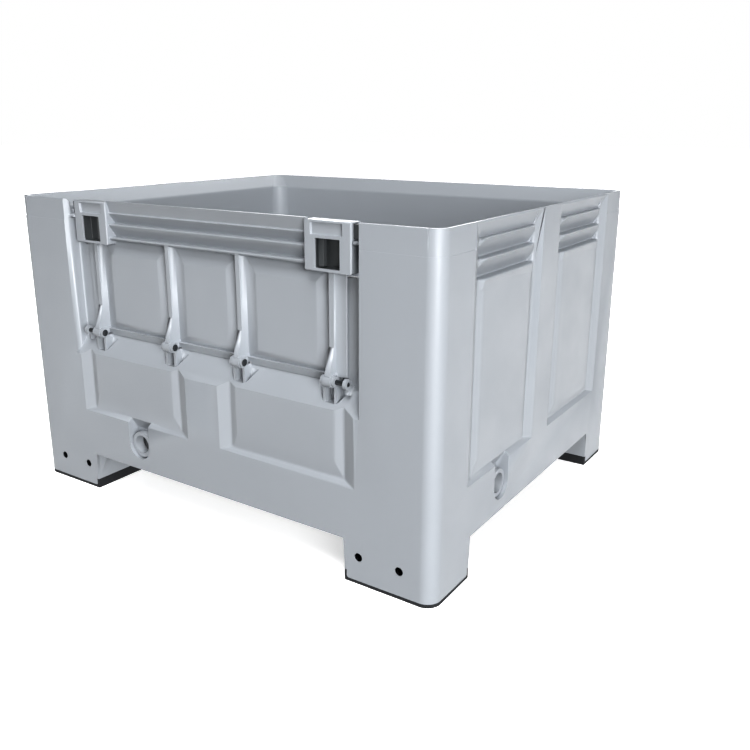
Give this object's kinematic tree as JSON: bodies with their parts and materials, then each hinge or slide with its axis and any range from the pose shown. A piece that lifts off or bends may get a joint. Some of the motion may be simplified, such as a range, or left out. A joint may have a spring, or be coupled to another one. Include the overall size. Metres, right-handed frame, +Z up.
{
  "type": "plastic bulk container",
  "caption": "Rigid plastic bulk container with corner feet, a half-height drop door held by slide latches, and drain plugs, for carrying fruit or grapes.",
  "frame": {"origin": "on the ground under the middle of the container", "axes": "+X to the right along the door side, +Y from the door to the back, +Z up"},
  "size_m": [1.2, 1, 0.74],
  "materials": {
    "container_grey": "moulded grey HDPE, satin",
    "latch_black": "moulded black nylon",
    "pin_black": "black acetal rod",
    "plug_black": "moulded black HDPE",
    "seal_rubber": "nitrile rubber",
    "shoe_rubber": "black wear rubber",
    "screw_steel": "stainless steel",
    "screw_black": "black oxide steel"
  },
  "bodies": {
    "container": {"tub": "container_grey", "hinge_pin_1": "pin_black", "hinge_pin_2": "pin_black", "hinge_pin_3": "pin_black", "hinge_pin_4": "pin_black", "shoe_front_left": "shoe_rubber", "shoe_front_right": "shoe_rubber", "shoe_back_left": "shoe_rubber", "shoe_back_right": "shoe_rubber", "shoe_screws_front_left": "screw_black", "shoe_screws_front_right": "screw_black", "shoe_screws_back_left": "screw_black", "shoe_screws_back_right": "screw_black"},
    "door": {"drop_door": "container_grey", "latch_cup_left": "latch_black", "latch_cup_right": "latch_black", "latch_cover_left": "container_grey", "latch_cover_right": "container_grey", "latch_screws_left": "screw_steel", "latch_screws_right": "screw_steel"},
    "latch_left": {"latch_bolt_left": "latch_black"},
    "latch_right": {"latch_bolt_right": "latch_black"},
    "plug_front": {"drain_plug_front": "plug_black", "drain_seal_front": "seal_rubber"},
    "plug_side": {"drain_plug_side": "plug_black", "drain_seal_side": "seal_rubber"}
  },
  "joints": [
    {"name": "door_hinge", "type": "hinge", "parent": "container", "child": "door", "pos_m": [0, -0.486, 0.422], "axis": [1, 0, 0], "range_deg": [0, 170]},
    {"name": "latch_right_slide", "type": "slide", "parent": "door", "child": "latch_right", "axis": [1, 0, 0], "range_m": [0, 0.016]},
    {"name": "latch_left_slide", "type": "slide", "parent": "door", "child": "latch_left", "axis": [-1, 0, 0], "range_m": [0, 0.016]},
    {"name": "drain_front_pull", "type": "slide", "parent": "container", "child": "plug_front", "axis": [0, -1, 0], "range_m": [0, 0.042]},
    {"name": "drain_side_pull", "type": "slide", "parent": "container", "child": "plug_side", "axis": [1, 0, 0], "range_m": [0, 0.042]}
  ]
}
